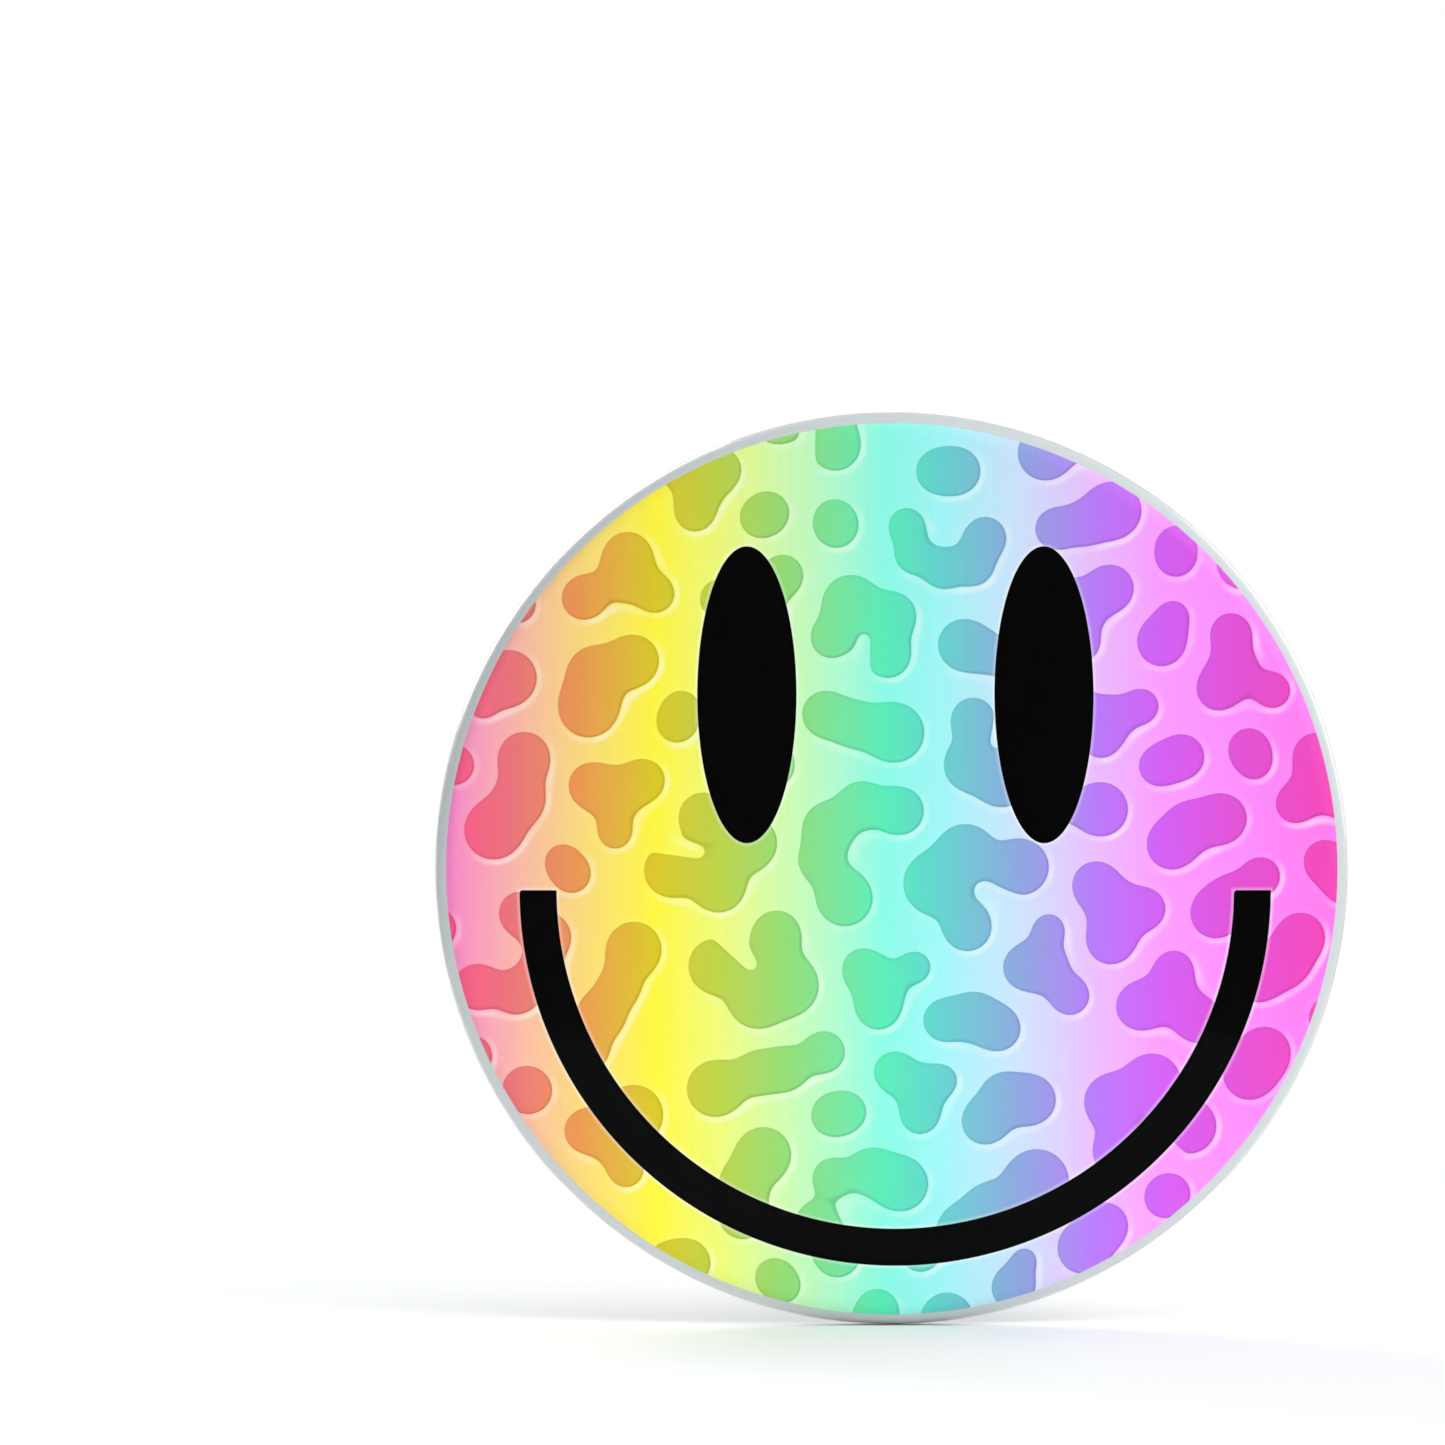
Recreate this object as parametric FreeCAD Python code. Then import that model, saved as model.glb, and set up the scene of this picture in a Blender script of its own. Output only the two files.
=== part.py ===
import FreeCAD, Part
import math
import os

# A round crimped badge with a magnet back, standing upright as it hangs on a steel door.
# Every piece is a solid of revolution about the Y axis. A section is drawn in the XY plane:
# x is the distance from the axis, and y is 0 at the magnet's back face and falls towards the front.

# Driving dimensions, in millimetres and degrees
BADGE_DIAMETER = 58.0
OVERALL_THICKNESS = 5.0
DOME_RADIUS = 247.0
SHOULDER_RADIUS = 1.7
SIDE_RADIUS = 3.8
SIDE_LEAN = 15.0

FILM_THICKNESS = 0.06
PAPER_THICKNESS = 0.12
SHELL_THICKNESS = 0.22
PLATE_THICKNESS = 0.22
TUCK_DEPTH = 1.0

MAGNET_DIAMETER = 51.2
MAGNET_THICKNESS = 1.15
MAGNET_EDGE_BREAK = 0.08
ADHESIVE_THICKNESS = 0.20
ADHESIVE_INSET = 0.5

FLOOR_RADIUS = 26.55
STEP_WIDTH = 0.25
STEP_HEIGHT = 0.40
BAND_SLOPE = 27.8
BEAD_RADIUS = 0.28
BEAD_CLEARANCE = 0.02
FOOT_BEND = 0.15
STEP_BEND = 0.30
LIP_BEND = 0.12
LIP_WIDTH = 0.20
LIP_LENGTH = 0.16
LIP_CLEARANCE = 0.08

# Worked out from the driving dimensions
BADGE_RADIUS = BADGE_DIAMETER / 2
WRAP_THICKNESS = FILM_THICKNESS + PAPER_THICKNESS
LAMINATE_THICKNESS = WRAP_THICKNESS + SHELL_THICKNESS
FOLD_RADIUS = WRAP_THICKNESS + SHELL_THICKNESS / 2
CROWN_Y = -OVERALL_THICKNESS
FLOOR_Y = -(MAGNET_THICKNESS + ADHESIVE_THICKNESS)

FRONT = -90.0
OUTWARD = 0.0
INWARD = 180.0
FULL_TURN = 360.0
AXIS_START = FreeCAD.Vector(0, 0, 0)
AXIS = FreeCAD.Vector(0, 1, 0)


def spot(x, y):
    return FreeCAD.Vector(x, y, 0)


def at_angle(centre, radius, degrees):
    """The point of a circle in the section plane, its angle counted from +X towards +Y."""
    turn = math.radians(degrees)
    return spot(centre.x + radius * math.cos(turn), centre.y + radius * math.sin(turn))


def arc_edge(centre, radius, start, end):
    middle = at_angle(centre, radius, (start + end) / 2)
    return Part.Arc(at_angle(centre, radius, start), middle, at_angle(centre, radius, end)).toShape()


def line_edge(start, end):
    return Part.LineSegment(start, end).toShape()


def revolved(edges):
    """Turns a closed section into a solid of revolution about the badge's axis."""
    wire = Part.Wire(Part.__sortEdges__(edges))
    return Part.makeSolid(Part.Face(wire).revolve(AXIS_START, AXIS, FULL_TURN))


def wrap_arcs():
    """The badge's outer surface from its crown to the fold at the back, as (centre, radius, start, end) arcs."""
    dome_centre = spot(0, CROWN_Y + DOME_RADIUS)
    shoulder_x = BADGE_RADIUS - SHOULDER_RADIUS
    reach = DOME_RADIUS - SHOULDER_RADIUS
    dome_turn = math.degrees(math.asin(shoulder_x / reach))
    shoulder_y = dome_centre.y - math.sqrt(reach**2 - shoulder_x**2)
    side_centre = spot(BADGE_RADIUS - SIDE_RADIUS, shoulder_y)
    fold_centre = at_angle(side_centre, SIDE_RADIUS - FOLD_RADIUS, SIDE_LEAN)
    return {
        "dome": (dome_centre, DOME_RADIUS, FRONT, FRONT + dome_turn),
        "shoulder": (spot(shoulder_x, shoulder_y), SHOULDER_RADIUS, FRONT + dome_turn, OUTWARD),
        "side": (side_centre, SIDE_RADIUS, OUTWARD, SIDE_LEAN),
        "fold": (fold_centre, FOLD_RADIUS, SIDE_LEAN, INWARD),
    }


WRAP = wrap_arcs()
TUCK_X = WRAP["fold"][0].x - FOLD_RADIUS
TUCK_END_Y = WRAP["fold"][0].y - TUCK_DEPTH


def inset_arcs(names, inset):
    """The edges of the named outer arcs, moved into the badge by inset."""
    found = []
    for name in names:
        centre, radius, start, end = WRAP[name]
        found.append(arc_edge(centre, radius - inset, start, end))
    return found


def layer(names, outer, inner, tucked):
    """A closed layer between two insets of the outer surface, with a straight tucked end if it has one."""
    outside = inset_arcs(names, outer)
    inside = inset_arcs(names, inner)
    outside_end = outside[-1].lastVertex().Point
    inside_end = inside[-1].lastVertex().Point
    edges = outside + inside
    edges.append(line_edge(spot(0, CROWN_Y + outer), spot(0, CROWN_Y + inner)))
    if tucked:
        outside_tip = spot(outside_end.x, TUCK_END_Y)
        inside_tip = spot(inside_end.x, TUCK_END_Y)
        edges.append(line_edge(outside_end, outside_tip))
        edges.append(line_edge(outside_tip, inside_tip))
        edges.append(line_edge(inside_tip, inside_end))
    else:
        edges.append(line_edge(outside_end, inside_end))
    return revolved(edges)


def clear_film():
    return layer(["dome", "shoulder", "side", "fold"], 0, FILM_THICKNESS, tucked=True)


def printed_paper():
    return layer(["dome", "shoulder", "side", "fold"], FILM_THICKNESS, WRAP_THICKNESS, tucked=True)


def front_shell():
    return layer(["dome", "shoulder", "side"], WRAP_THICKNESS, LAMINATE_THICKNESS, tucked=False)


def strip_side(corners, bends, depth):
    """The edges of a bent strip's back surface moved forward by depth: straight runs and tangent bends."""
    edges = []
    normals = []
    for start, end in zip(corners, corners[1:]):
        run = (end - start).normalize()
        normals.append(spot(-run.y, run.x))
    reached = corners[0] - normals[0] * depth
    for corner, bend, before, after in zip(corners[1:-1], bends, normals, normals[1:]):
        turn = before.x * after.y - before.y * after.x
        side = 1 if turn < 0 else -1
        half_angle = before.getAngle(after) / 2
        centre = corner - (before + after).normalize() * (side * bend / math.cos(half_angle))
        radius = side * bend - depth
        bend_start = centre + before * radius
        bend_middle = centre + (before + after).normalize() * radius
        bend_end = centre + after * radius
        edges.append(line_edge(reached, bend_start))
        edges.append(Part.Arc(bend_start, bend_middle, bend_end).toShape())
        reached = bend_end
    edges.append(line_edge(reached, corners[-1] - normals[-1] * depth))
    return edges


def back_plate():
    """Flat floor, step, sloping band, rolled bead, straight wall and a lip that hooks in front of the tucked wrap."""
    wall_x = TUCK_X - BEAD_CLEARANCE
    step_x = FLOOR_RADIUS + STEP_WIDTH
    step_y = FLOOR_Y + STEP_HEIGHT
    bead_y = step_y + (wall_x - step_x) * math.tan(math.radians(BAND_SLOPE))
    lip_y = TUCK_END_Y - LIP_CLEARANCE - PLATE_THICKNESS / 2
    corners = [
        spot(0, FLOOR_Y),
        spot(FLOOR_RADIUS, FLOOR_Y),
        spot(step_x, step_y),
        spot(wall_x, bead_y),
        spot(wall_x, lip_y),
        spot(wall_x + LIP_WIDTH, lip_y - LIP_LENGTH),
    ]
    bends = [FOOT_BEND, STEP_BEND, BEAD_RADIUS, LIP_BEND]
    back = strip_side(corners, bends, 0)
    front = strip_side(corners, bends, PLATE_THICKNESS)
    edges = back + front
    edges.append(line_edge(back[0].firstVertex().Point, front[0].firstVertex().Point))
    edges.append(line_edge(back[-1].lastVertex().Point, front[-1].lastVertex().Point))
    return revolved(edges)


def adhesive_layer():
    radius = MAGNET_DIAMETER / 2 - ADHESIVE_INSET
    return Part.makeCylinder(radius, ADHESIVE_THICKNESS, spot(0, FLOOR_Y), AXIS)


def magnet_disc():
    """A disc whose two rims are lightly broken, as a die leaves them."""
    disc = Part.makeCylinder(MAGNET_DIAMETER / 2, MAGNET_THICKNESS, spot(0, -MAGNET_THICKNESS), AXIS)
    rims = [edge for edge in disc.Edges if isinstance(edge.Curve, Part.Circle)]
    return disc.makeChamfer(MAGNET_EDGE_BREAK, rims)


PIECES = {
    "clear_film": clear_film,
    "printed_paper": printed_paper,
    "front_shell": front_shell,
    "back_plate": back_plate,
    "adhesive_layer": adhesive_layer,
    "magnet_disc": magnet_disc,
}

os.makedirs("parts", exist_ok=True)
for node, make in PIECES.items():
    make().exportStep(os.path.join("parts", node + ".step"))
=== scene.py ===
import math

import bpy
import numpy as np
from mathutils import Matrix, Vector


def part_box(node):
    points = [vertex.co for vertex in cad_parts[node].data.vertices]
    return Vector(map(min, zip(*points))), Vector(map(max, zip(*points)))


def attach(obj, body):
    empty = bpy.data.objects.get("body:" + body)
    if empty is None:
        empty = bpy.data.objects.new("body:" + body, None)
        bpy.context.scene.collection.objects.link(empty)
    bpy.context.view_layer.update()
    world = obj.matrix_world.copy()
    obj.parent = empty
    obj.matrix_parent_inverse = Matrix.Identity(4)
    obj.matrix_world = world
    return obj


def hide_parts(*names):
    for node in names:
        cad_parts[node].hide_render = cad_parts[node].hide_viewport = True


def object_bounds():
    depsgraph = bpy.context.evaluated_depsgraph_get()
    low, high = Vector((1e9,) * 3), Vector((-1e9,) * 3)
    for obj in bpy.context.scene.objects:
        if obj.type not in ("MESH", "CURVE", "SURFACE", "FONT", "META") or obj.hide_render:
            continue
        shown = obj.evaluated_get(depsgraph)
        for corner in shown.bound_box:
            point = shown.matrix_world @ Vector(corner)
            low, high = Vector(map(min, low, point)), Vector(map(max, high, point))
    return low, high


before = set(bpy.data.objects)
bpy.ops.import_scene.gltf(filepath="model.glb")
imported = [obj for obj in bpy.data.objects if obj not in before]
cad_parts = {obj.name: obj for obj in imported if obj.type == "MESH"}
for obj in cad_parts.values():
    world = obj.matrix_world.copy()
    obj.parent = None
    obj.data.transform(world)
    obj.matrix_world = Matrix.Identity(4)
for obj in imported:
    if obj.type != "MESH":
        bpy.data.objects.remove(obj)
cad_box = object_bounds()

# The looks of a round crimped badge with a magnet back, standing upright on its edge.
# Meshes are drawn in millimetres and turned into metres as they are made. The badge's axis is Y:
# its printed front faces -Y and its magnet +Y. A section is drawn as (distance from the axis, y),
# as in the CAD part.

MM = 0.001


def cad_reach(node):
    """A CAD node's radius and its lowest and highest y, in millimetres."""
    low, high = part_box(node)
    return high.z / MM, low.y / MM, high.y / MM


BADGE_RADIUS, CROWN_Y, _ = cad_reach("clear_film")
MAGNET_RADIUS, MAGNET_FRONT_Y, MAGNET_BACK_Y = cad_reach("magnet_disc")
_, FLOOR_Y, _ = cad_reach("adhesive_layer")

# The section of the wrap, as in the CAD part
DOME_RADIUS = 247.0
SHOULDER_RADIUS = 1.7
SIDE_RADIUS = 3.8
SIDE_LEAN = 15.0
FOLD_RADIUS = 0.29
FOLD_SQUARENESS = 0.65
TUCK_DEPTH = 1.0

# Insets of the layers from the badge's outer surface
FILM_INSIDE = 0.045
INK_TOP = 0.050
INK_BOTTOM = 0.058
PAPER_OUTSIDE = 0.060
PAPER_INSIDE = 0.180

# The section of the back plate, as in the CAD part
PLATE_THICKNESS = 0.22
FLOOR_RADIUS = 26.55
STEP_WIDTH = 0.25
STEP_RADIUS = FLOOR_RADIUS + STEP_WIDTH
STEP_HEIGHT = 0.40
BAND_SLOPE = 27.8
BEAD_CLEARANCE = 0.02
LIP_CLEARANCE = 0.08
LIP_WIDTH = 0.20
LIP_LENGTH = 0.16
FOOT_BEND = 0.15
STEP_BEND = 0.30
BEAD_BEND = 0.28
LIP_BEND = 0.12

# The magnet lies a little off the plate's middle. Its rim is a list of (inset, drop) pairs.
MAGNET_SHIFT = (0.10, 0.0, 0.42)
MAGNET_TRIM = 0.03
MAGNET_RIM = [(0.45, 0.0), (0.16, 0.0), (0.07, 0.012), (0.02, 0.05), (0.0, 0.11), (0.0, 0.5)]
BROAD_WAVE = 0.055
FINE_WAVE = 0.010
FLAT_SIDE = -31.0
FLAT_HALF_WIDTH = 5.0
FLAT_DEPTH = 0.03

# The printed picture: a disc of ink with two oval eyes and a round-bottomed mouth
ART_RADIUS = 28.27
EYE_SPREAD = 9.40
EYE_HEIGHT = 11.04
EYE_HALF_WIDTH = 3.14
EYE_HALF_HEIGHT = 9.40
FACE_SHIFT = 0.2
MOUTH_HEIGHT = -1.34
MOUTH_OUTER = 23.80
MOUTH_INNER = 21.44

# Between which angles of the wrap's section each of these sets in, in degrees
GATHERED = (15, 70)
TURNED_IN = (50, 120)
# CREASED and IN_SHADE place the paper's painted shade in the creases and inside the fold
CREASED = (-5, 25)
IN_SHADE = (135, 170)

# The inset at which nothing would gather
STIFF_INSET = 0.45

# How finely the meshes are divided
FILM_DOME_STATIONS = 24
PAPER_DOME_STATIONS = 10
SHOULDER_STATIONS = 14
SIDE_STATIONS = 3
FOLD_STATIONS = 16
TUCK_SHARES = (0.15, 0.4, 1.0)
COARSE_SEGMENTS = 360
FINE_SEGMENTS = 1440
PLATE_SEGMENTS = 720
LATTICE_CELL = 0.25
SNAP_SHARE = 0.3
SETTLING_STEPS = 3
LEAST_STEEP = 0.2
ON_LINE = 1e-3
SHOULDER_RING_GAP = 0.13
LAST_RING_GAP = 0.05
MAGNET_RING_SHARES = (0.25, 0.5, 0.75, 0.9)
BACK_BEND_STEPS = 12
FRONT_BEND_STEPS = 4
SLOPE_STEP = 0.01
SHARP_ANGLE = 38.0
TINY = 1e-6

# How much the film mirrors straight on and at the flattest slant
FACE_ON_MIRROR = 0.002
SLANTED_MIRROR = 0.4

# The studio. The camera looks along +Y from left of the badge's middle and a little above it.
LENS = 200.0
FILM_WIDTH = 36.0
FRAME_WIDTH = 91.9
CAMERA_X = -10.74
CAMERA_Z = 9.28
LAMPS = {
    "key": ((360, -380, 260), 320, 1.14),
    "fill": ((-300, -450, 120), 320, 0.76),
    "top": ((0, -60, 560), 420, 0.25),
    "back_key": ((-240, 480, 230), 320, 1.7),
    "back_fill": ((340, 420, 160), 320, 0.85),
}
SKY_COLOUR = (0.95, 0.98, 1.0, 1.0)
WHITE = (1.0, 1.0, 1.0, 1.0)
SKY_LOW = 0.35
SKY_HIGH = 1.15
SKY_LEFT = 0.15
SKY_RIGHT = 1.15
GROUND_RADII = (40.0, 80.0, 120.0, 160.0)
GROUND_SEGMENTS = 96


# ---- node helpers


def linear(red, green, blue):
    """A tone in everyday 0-255 numbers, as the linear values that shaders take."""
    found = []
    for value in (red, green, blue):
        share = value / 255
        found.append(share / 12.92 if share <= 0.04045 else ((share + 0.055) / 1.055) ** 2.4)
    return (*found, 1.0)


class Nodes:
    """A node tree, with short ways to add what this scene needs. A value is a number or an output."""

    def __init__(self, tree, output):
        self.tree = tree
        self.tree.nodes.clear()
        self.output = self.tree.nodes.new(output)

    def add(self, kind, inputs=None, **settings):
        made = self.tree.nodes.new("ShaderNode" + kind)
        for name, value in settings.items():
            setattr(made, name, value)
        for key, value in (inputs or {}).items():
            self.feed(made.inputs[key], value)
        return made

    def feed(self, socket, value):
        if isinstance(value, bpy.types.NodeSocket):
            self.tree.links.new(value, socket)
        else:
            socket.default_value = value

    def math(self, operation, first, second=0.0, third=0.0):
        return self.add("Math", {0: first, 1: second, 2: third}, operation=operation).outputs[0]

    def times(self, first, second):
        return self.math("MULTIPLY", first, second)

    def times_plus(self, first, second, third):
        return self.math("MULTIPLY_ADD", first, second, third)

    def most(self, found, *others):
        for other in others:
            found = self.math("MAXIMUM", found, other)
        return found

    def fit(self, value, low, high, new_low=0.0, new_high=1.0, kind="LINEAR"):
        """Maps low..high of value to new_low..new_high, and holds those two beyond it."""
        inputs = {0: value, 1: low, 2: high, 3: new_low, 4: new_high}
        return self.add("MapRange", inputs, interpolation_type=kind).outputs[0]

    def ease(self, value, low, high, new_low=0.0, new_high=1.0):
        """The same as fit, with a soft start and end."""
        return self.fit(value, low, high, new_low, new_high, "SMOOTHSTEP")

    def show(self, surface):
        self.feed(self.output.inputs["Surface"], surface)


class Shader(Nodes):
    """A material's nodes. place is the point's place in the badge's frame, in millimetres."""

    def __init__(self, name):
        self.material = bpy.data.materials.new(name)
        self.material.use_nodes = True
        super().__init__(self.material.node_tree, "ShaderNodeOutputMaterial")
        inputs = {0: self.add("TexCoord").outputs["Object"], "Scale": 1 / MM}
        self.place = self.add("VectorMath", inputs, operation="SCALE").outputs[0]
        self.x, self.y, self.z = self.add("SeparateXYZ", {0: self.place}).outputs

    def mix(self, share, first, second, blend="MIX"):
        """Each colour is an output or a tone."""
        made = self.add("Mix", data_type="RGBA", blend_type=blend)
        self.feed(made.inputs[0], share)
        for socket, colour in ((6, first), (7, second)):
            self.feed(made.inputs[socket], linear(*colour) if isinstance(colour, tuple) else colour)
        return made.outputs[2]

    def ramp(self, value, stops):
        """The stops are (place, linear colour). The ramp's own two take the first place and the last."""
        made = self.add("ValToRGB", {0: value})
        elements = made.color_ramp.elements
        elements[0].color = stops[0][1]
        elements[1].color = stops[-1][1]
        for place, colour in stops[1:-1]:
            elements.new(place).color = colour
        return made.outputs[0]

    def axis_distance(self):
        squares = self.times_plus(self.x, self.x, self.times(self.z, self.z))
        return self.math("SQRT", squares)

    def noise(self, scale, detail=2.0, rough=0.5, place=None):
        place = self.place if place is None else place
        inputs = {"Vector": place, "Scale": scale, "Detail": detail, "Roughness": rough}
        return self.add("TexNoise", inputs).outputs["Fac"]

    def streaked_noise(self, scale, detail, stretch):
        place = self.add("VectorMath", {0: self.place, 1: stretch}, operation="MULTIPLY").outputs[0]
        return self.noise(scale, detail, place=place)

    def ring_noise(self, radius, along, across, detail=2.0, rough=0.5, x=None, z=None):
        """Noise that runs round the axis. along and across set how fine it is each way."""
        turn_x = self.times(self.math("DIVIDE", self.x if x is None else x, radius), along)
        turn_z = self.times(self.math("DIVIDE", self.z if z is None else z, radius), along)
        place = self.add("CombineXYZ", {0: turn_x, 1: turn_z, 2: self.times(radius, across)}).outputs[0]
        return self.noise(1.0, detail, rough, place)

    def spread(self, texture, low, high):
        """Spreads a noise texture's usual values over low..high."""
        return self.fit(texture, 0.3, 0.7, low, high)

    def attribute(self, name):
        return self.add("Attribute", attribute_name=name).outputs["Fac"]

    def bump(self, height, strength, distance):
        inputs = {"Height": height, "Strength": strength, "Distance": distance * MM}
        return self.add("Bump", inputs).outputs[0]

    def near_radius(self, radius, middle, core, reach):
        """1 within core of a circle round the axis, fading to 0 at reach from it."""
        gap = self.math("ABSOLUTE", self.math("SUBTRACT", radius, middle))
        return self.ease(gap, core, reach, 1, 0)

    def finish(self, colour, roughness, bump=None, **others):
        """Ends in a principled surface. The names of other sockets have _ for their spaces."""
        inputs = {name.replace("_", " "): value for name, value in others.items()}
        if bump is not None:
            inputs["Normal"] = bump
        inputs.update({"Base Color": colour, "Roughness": roughness})
        self.show(self.add("BsdfPrincipled", inputs).outputs[0])
        return self.material


# ---- the front's materials


# The print's tones across the badge: the place from its middle in millimetres, the ground and the spots
PRINT_STOPS = [
    (-28, (250, 135, 200), (250, 85, 140)),
    (-24, (250, 180, 170), (235, 115, 120)),
    (-20, (250, 215, 125), (235, 150, 80)),
    (-15, (255, 245, 60), (220, 200, 35)),
    (-11, (240, 250, 120), (190, 210, 70)),
    (-6.5, (205, 250, 180), (145, 220, 120)),
    (-0.5, (140, 250, 230), (90, 235, 185)),
    (3, (160, 245, 245), (100, 210, 205)),
    (8, (205, 225, 250), (140, 165, 220)),
    (13, (235, 185, 250), (185, 120, 245)),
    (17, (250, 155, 255), (210, 95, 240)),
    (22, (250, 140, 250), (225, 80, 210)),
    (28, (255, 120, 230), (240, 70, 180)),
]
GROUND_COLUMN = 1
SPOT_COLUMN = 2

# Other tones, alone or as the two ends that a texture runs between
HALO_TONE = (255, 255, 246)
GLOW_TONE = (255, 255, 250)
SPOT_EDGE_TONE = (208, 204, 210)
BLACK_INK = ((0, 0, 0), (6, 6, 6))
BARE_PAPER = ((218, 224, 224), (234, 238, 238))
# Darker paper for the front margin: painted shade of the rim
SHADED_MARGIN_PAPER = ((196, 202, 203), (212, 217, 218))
CLOUDY_PAPER = (208, 214, 216)
# Painted shade for the creases and the inside of the fold
CREASE_SHADE_TONE = (62, 64, 52)

BAND_SHADE = 0.05
TOOTH_SHADE = 0.04


def rainbow(mat, column):
    """The ground's or the spots' colour across the badge, in straight bands from top to bottom."""
    widest = PRINT_STOPS[-1][0]
    share = mat.fit(mat.x, -widest, widest)
    stops = [((row[0] + widest) / (2 * widest), linear(*row[column])) for row in PRINT_STOPS]
    return mat.ramp(share, stops)


def ink_finish(mat, tooth, colour, least_rough, most_rough, specular):
    roughness = mat.spread(tooth, least_rough, most_rough)
    return mat.finish(colour, roughness, mat.bump(tooth, 0.12, 0.004), Specular_IOR_Level=specular)


def colour_ink(mat, colour, glow):
    """Colour ink that glows faintly by the black, with press bands and the paper's tooth in it."""
    share = mat.ease(mat.attribute("ink"), 0.04, 0.26, glow, 0)
    colour = mat.mix(share, colour, GLOW_TONE)
    bands = mat.streaked_noise(3.0, 1.0, (1, 0, 0.01))
    tooth = mat.noise(6.0, 4.0)
    shade = mat.times_plus(bands, BAND_SHADE, mat.times(tooth, TOOTH_SHADE))
    shade = mat.math("ADD", shade, 1 - (BAND_SHADE + TOOTH_SHADE) / 2)
    tint = mat.add("CombineXYZ", {0: shade, 1: shade, 2: shade}).outputs[0]
    return ink_finish(mat, tooth, mat.mix(1.0, colour, tint, "MULTIPLY"), 0.38, 0.52, 0.15)


def ground_print():
    """The rainbow ground, paler along the lower right of each spot as if the spots were pressed in."""
    mat = Shader("ground_print")
    edge = mat.attribute("edge")
    rise = mat.ease(edge, 0.02, 0.18, 0.35, 1)
    fall = mat.ease(edge, 0.18, 0.52, 1, 0)
    side = mat.fit(mat.attribute("lit"), -0.1, 0.9, 0.03, 0.44)
    uneven = mat.fit(mat.noise(0.35), 0.35, 0.62, 0.35, 1)
    halo = mat.times(mat.times(rise, fall), mat.times(side, uneven))
    colour = mat.mix(halo, rainbow(mat, GROUND_COLUMN), HALO_TONE)
    return colour_ink(mat, colour, 0.36)


def spot_print():
    """The spots' deeper rainbow, with a thin darker line just inside their edges."""
    mat = Shader("spot_print")
    colour = rainbow(mat, SPOT_COLUMN)
    line = mat.ease(mat.attribute("edge"), -0.20, -0.03)
    strength = mat.fit(mat.attribute("lit"), -0.6, 0.8, 0.15, 0.6)
    darker = mat.mix(1.0, colour, SPOT_EDGE_TONE, "MULTIPLY")
    colour = mat.mix(mat.times(line, strength), colour, darker)
    return colour_ink(mat, colour, 0.24)


def black_print():
    mat = Shader("black_print")
    tooth = mat.noise(6.0, 4.0)
    return ink_finish(mat, tooth, mat.mix(tooth, *BLACK_INK), 0.40, 0.55, 0.03)


def white_paper():
    """Coated white paper: faint fibres, with painted shade on its front margin, along its creases and
    inside the fold.
    """
    mat = Shader("white_paper")
    fibres = mat.noise(4.0, 6.0, 0.6)
    clouds = mat.noise(0.35)
    bare = mat.mix(fibres, *BARE_PAPER)
    shaded_margin = mat.mix(fibres, *SHADED_MARGIN_PAPER)
    shoulder_y = WRAP["shoulder"][0][1]
    # Painted shade: the paper is greyer at the front, fading to bare white just behind the shoulder
    colour = mat.mix(mat.fit(mat.y, shoulder_y + 0.1, shoulder_y + 1.0), shaded_margin, bare)
    colour = mat.mix(mat.fit(clouds, 0.35, 0.75, 0, 0.2), colour, CLOUDY_PAPER)
    # Painted shade along the creases and on the fold's inner side
    crease = mat.fit(mat.attribute("crease"), 0.15, 1.0, 0, 0.9)
    colour = mat.mix(crease, colour, CREASE_SHADE_TONE)
    roughness = mat.spread(fibres, 0.45, 0.62)
    return mat.finish(colour, roughness, mat.bump(fibres, 0.25, 0.01), Specular_IOR_Level=0.35)


def clear_gloss(name, mirror):
    """Clear film: what lies under it shows, and it mirrors more at a slant. mirror is its strength."""
    mat = Shader(name)
    waves = mat.noise(0.22)
    grain = mat.noise(9.0, 3.0)
    hairs = mat.streaked_noise(1.0, 3.0, (14, 0.4, 0.6))
    normal = mat.bump(mat.times_plus(grain, 0.02, waves), 0.10, 0.05)
    roughness = mat.fit(hairs, 0.55, 0.75, 0.05, 0.13)
    roughness = mat.times_plus(mat.attribute("crease"), 0.15, roughness)
    gloss = mat.add("BsdfAnisotropic", {"Roughness": roughness, "Normal": normal}, distribution="GGX")
    slant = mat.add("LayerWeight", {"Blend": 0.5, "Normal": normal}).outputs["Facing"]
    fifth = mat.math("POWER", slant, 5.0)
    share = mat.fit(fifth, 0, 1, FACE_ON_MIRROR * mirror, SLANTED_MIRROR * mirror)
    clear = mat.add("BsdfTransparent").outputs[0]
    mat.show(mat.add("MixShader", {0: share, 1: clear, 2: gloss.outputs[0]}).outputs[0])
    return mat.material


# ---- the back's materials


BROWN_STEEL = ((15, 8, 5), (68, 54, 42))
OLIVE_STEEL = ((19, 18, 10), (58, 55, 40))
RED_STEEL = ((42, 13, 9), (66, 28, 19))
DULL_RED_STEEL = (34, 20, 15)
# A painted reflection on the band
REFLECTION_GREY_STEEL = (138, 142, 133)
# Painted highlights, and real wear specks
HIGHLIGHT_AND_WEAR_STEEL = (232, 226, 216)
GLINT = (150, 156, 120)
SHELL_STEEL = ((176, 178, 180), (214, 216, 218))
CLOUDY_STEEL = (158, 158, 160)

DARK_RUBBER = ((12, 10, 10), (36, 32, 32))
# Lit copies of the rubber for its painted sheen
SHEEN_GREY_RUBBER = ((72, 74, 72), (96, 98, 95))
SHEEN_GREEN_RUBBER = ((72, 80, 73), (97, 104, 96))
ROLLED_BAND = (26, 25, 24)
# Painted highlight and wear along the magnet's rim
RIM_WEAR_AND_HIGHLIGHT = (104, 106, 94)
RUBBER_PIT = (20, 19, 18)
RUBBER_SPECK = (150, 150, 142)

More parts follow.
